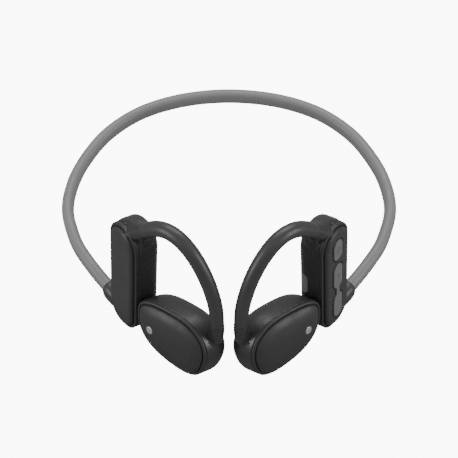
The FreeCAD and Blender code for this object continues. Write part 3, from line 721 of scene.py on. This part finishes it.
body_levels = [(1.0, 0.30, 0.02, 0.05), (1.0, 2.8, 0.1, 0.55), (1.0, 5.8, 0.0, 1.2),
               (0.97, 8.2, -0.2, 1.5), (0.89, 9.9, -0.2, 1.6), (0.76, POD_T, 0, 1.4)]
prof = smooth_levels(body_levels, 44)
rings = [pod_ring(0.75, 1.0, 0, 0.0, 1.3), pod_ring(0.22, 1.0, 0, 0.0, 0.62),
         pod_ring(0.06, 1.0, 0, 0.0, 0.30), pod_ring(0.05, 1.0, 0, 0.0, 0.20),
         pod_ring(0.10, 1.0, 0, 0.0, 0.08), pod_ring(0.20, 1.0, 0.01, 0.02, 0.0)]
rings += [pod_ring(d, s, o, ah) for s, d, o, ah in prof]
inner = pod_ring(POD_T, 0.76, 0, 1.4)
ctr = inner.mean(0)
for s in (0.97, 0.9, 0.8):
    rings.append(ctr + (inner - ctr) * s - pod_n * 0.03 * (1 - s))
# seat for the pad
seat = pod_ring(POD_T, 0.615, 0, 0)
rings += [seat * 1.0, pod_ring(POD_T + 0.0, 0.61, 0, 0), pod_ring(POD_T - 0.12, 0.603, 0, 0),
          pod_ring(POD_T - 0.5, 0.60, 0, 0)]
verts = np.vstack(rings)
faces = grid_faces(len(rings), N_P)
verts = np.vstack([verts, [rings[-1].mean(0)]])
faces += fan((len(rings) - 1) * N_P, N_P, len(verts) - 1)


# boss that takes the lower end of the hook
prof_d = np.array([x[1] for x in prof])
prof_s = np.array([x[0] for x in prof])
prof_o = np.array([x[2] for x in prof])
prof_a = np.array([x[3] for x in prof])
ang = np.arctan2(base[:, 1], base[:, 0])
order = np.argsort(ang)
ang_s = np.concatenate([ang[order] - 2 * np.pi, ang[order], ang[order] + 2 * np.pi])
rad_s = np.tile(np.linalg.norm(base, axis=1)[order], 3)


def sd_pod(p):
    u, v, w = pod_local(p)
    wc = np.clip(w, prof_d[0], prof_d[-1])
    s = np.interp(wc, prof_d, prof_s)
    o = np.interp(wc, prof_d, prof_o)
    ah = np.interp(wc, prof_d, prof_a)
    uu = u - ah
    R = np.interp(np.arctan2(v, uu), ang_s, rad_s) * s + o
    d = (np.hypot(uu, v) - R) * 0.96
    return np.maximum(np.maximum(d, w - POD_T), -w)


boss_f = spline([end_p, end_p + end_t * 3.0, hook_plane(28.7, 16.6), hook_plane(26.6, 12.0)])
n_b = 60
bp_ = even(boss_f, n_b)
Lb = np.concatenate([[0], np.cumsum(np.linalg.norm(np.diff(bp_, axis=0), axis=1))])
r_b = np.interp(Lb, [0, 0.12, 0.4, 4.0, Lb[-1]], [2.28, 2.42, 2.50, 2.58, 2.75])
vb, gone_b = trumpet(bp_, r_b, sd_pod, 0.7, 2.0)
nb = len(verts)
pod_verts = np.vstack([verts, vb.reshape(-1, 3)])
pod_faces = faces + grid_faces(n_b, 64, offset=nb)
for side, mir in (("right", False), ("left", True)):
    ob = fix_outward(mesh("pod_shell_" + side, pod_verts, pod_faces, MAT["shell_black"], mirror=mir))
    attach(ob, side + "_hook")
    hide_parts("pod_housing_" + side)

# outer covers: rounded rim, a fine groove and a crowned face
edge = [(1.3, 0.5), (0.62, 0.02), (0.30, -0.01), (0.20, -0.03), (0.10, -0.08), (0.06, -0.18),
        (0.07, -0.38), (0.12, -0.56), (0.22, -0.74), (0.38, -0.88), (0.58, -0.97),
        (0.78, -1.01), (0.93, -1.00), (1.01, -0.94), (1.05, -0.83), (1.08, -0.70),
        (1.14, -0.60), (1.22, -0.565), (1.30, -0.60), (1.36, -0.70), (1.39, -0.86),
        (1.41, -1.05), (1.45, -1.18), (1.55, -1.33), (1.75, -1.51), (2.1, -1.73),
        (2.6, -1.98), (3.2, -2.23), (3.9, -2.46), (4.7, -2.66)]
rings = [pod_ring(d, 1.0, 0, 0, i) for i, d in edge if i <= 1.75]
# further in, the outline shrinks towards the middle so that it never folds
gu, gv, gw = pod_local(rings[-1])
mu, mv = gu.mean(), gv.mean()
for i, d in edge:
    if i > 1.75:
        k = 1 - (i - 1.75) / 10.5
        rings.append(pod_world(mu + (gu - mu) * k, mv + (gv - mv) * k, np.full(len(gu), d)))
last = rings[-1]
lu, lv, lw = pod_local(last)
cu, cv = lu.mean(), lv.mean()
n_d = 30
for s in np.linspace(1, 0, n_d + 1)[1:-1]:
    w = -2.66 - 0.60 * (1 - s ** 2.1)
    rings.append(pod_world(cu + (lu - cu) * s, cv + (lv - cv) * s, np.full(len(lu), w)))
verts = np.vstack(rings)
faces = grid_faces(len(rings), N_P)
verts = np.vstack([verts, [pod_world(cu, cv, -3.26)]])
faces += fan((len(rings) - 1) * N_P, N_P, len(verts) - 1)
for side, mir in (("right", False), ("left", True)):
    ob = fix_outward(mesh("pod_face_" + side, verts, faces, MAT["cover_black"], mirror=mir))
    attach(ob, side + "_hook")
    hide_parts("pod_cover_" + side)

# badge: a plain silver disc set in the face
bu, bv = -BADGE[0], BADGE[1]
f = np.linspace(0, 2 * np.pi, 48, endpoint=False)
dome_a = np.arctan2(lv - cv, lu - cu)
dome_r = np.hypot(lu - cu, lv - cv)
dome_o = np.argsort(dome_a)
da = np.concatenate([dome_a[dome_o] - 2 * np.pi, dome_a[dome_o], dome_a[dome_o] + 2 * np.pi])
dr = np.tile(dome_r[dome_o], 3)


def dome_w(uu, vv):
    """Height of the crowned face under a point of the badge."""
    k = np.hypot(uu - cu, vv - cv) / np.interp(np.arctan2(vv - cv, uu - cu), da, dr)
    return np.where(k <= 1, -2.66 - 0.60 * (1 - np.minimum(k, 1) ** 2.1), -2.66 + 0.9 * (k - 1))


rows = []
for r_, dz in ((1.5, 0.6), (1.5, 0.0), (1.46, -0.06), (1.36, -0.10), (1.1, -0.115), (0.6, -0.12)):
    uu, vv = bu + r_ * np.cos(f), bv + r_ * np.sin(f)
    rows.append(pod_world(uu, vv, dome_w(uu, vv) + dz))
bverts = np.vstack(rows + [[pod_world(bu, bv, float(dome_w(bu, bv)) - 0.12)]])
bfaces = grid_faces(len(rows), 48) + fan((len(rows) - 1) * 48, 48, len(bverts) - 1)
for side, mir in (("right", False), ("left", True)):
    ob = fix_outward(mesh("badge_disc_" + side, bverts, bfaces, MAT["badge_silver"], mirror=mir))
    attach(ob, side + "_hook")
    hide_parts("pod_badge_" + side)

# ------------------------------------------------------------------- stage
floor_m, nt, b = new_material("floor")
b.inputs["Base Color"].default_value = (0.34, 0.34, 0.34, 1)
b.inputs["Roughness"].default_value = 0.9
b.inputs["Specular IOR Level"].default_value = 0.1
glow = nt.nodes.new("ShaderNodeEmission")
glow.inputs[1].default_value = 10.0
ray = nt.nodes.new("ShaderNodeLightPath")
mixn = nt.nodes.new("ShaderNodeMixShader")
nt.links.new(ray.outputs["Is Camera Ray"], mixn.inputs[0])
nt.links.new(b.outputs[0], mixn.inputs[1])
nt.links.new(glow.outputs[0], mixn.inputs[2])
nt.links.new(mixn.outputs[0], nt.nodes["Material Output"].inputs[0])
me = bpy.data.meshes.new("floor")
S = 6.0
me.from_pydata([(-S, -S, 0), (S, -S, 0), (S, S, 0), (-S, S, 0)], [], [(0, 1, 2, 3)])
floor = bpy.data.objects.new("floor", me)
floor.location = (0, 0, float(cad_lo.z) - 0.0002)
bpy.context.scene.collection.objects.link(floor)
me.materials.append(floor_m)

AMBIENT = 0.42
w = bpy.data.worlds.new("studio")
bpy.context.scene.world = w
w.use_nodes = True
wt = w.node_tree
bg = wt.nodes.get("Background") or wt.nodes.new("ShaderNodeBackground")
ray = wt.nodes.new("ShaderNodeLightPath")
lev = wt.nodes.new("ShaderNodeMapRange")
lev.inputs["To Min"].default_value = AMBIENT
lev.inputs["To Max"].default_value = 10.0
wt.links.new(ray.outputs["Is Camera Ray"], lev.inputs["Value"])
wt.links.new(lev.outputs[0], bg.inputs[1])
bg.inputs[0].default_value = (1, 1, 1, 1)


def area(name, loc, target, size, power, size_y=None):
    l = bpy.data.lights.new(name, "AREA")
    l.shape = "RECTANGLE"
    l.size = size
    l.size_y = size_y or size
    l.energy = power
    o = bpy.data.objects.new(name, l)
    bpy.context.scene.collection.objects.link(o)
    o.location = loc
    d = Vector(target) - Vector(loc)
    o.rotation_euler = d.to_track_quat("-Z", "Y").to_euler()
    return o


area("top", (0.0, 0.36, 0.74), (0, 0, 0.02), 0.7, 4.4, 0.36)
area("front", (0.0, -0.60, 0.66), (0, 0, 0.02), 0.80, 0.5, 0.34)
area("left", (-0.76, -0.30, 0.33), (0, 0, 0.02), 0.30, 3.6, 0.46)
area("right", (0.76, -0.30, 0.33), (0, 0, 0.02), 0.30, 3.6, 0.46)

# ------------------------------------------------------------------ camera
el = rad(44.0)
fwd = np.array([0, math.cos(el), -math.sin(el)])
T = np.array([0, 18.6, 28.4])
eye = world(T - 447.0 * fwd)
cam = bpy.data.cameras.new("camera")
cam.lens = 1250.0 / 458.0 * 36.0
cam.sensor_width = 36.0
cam.clip_start = 0.01
co_ = bpy.data.objects.new("camera", cam)
bpy.context.scene.collection.objects.link(co_)
co_.location = tuple(eye)
co_.rotation_euler = (math.pi / 2 - el, 0, 0)
bpy.context.scene.camera = co_
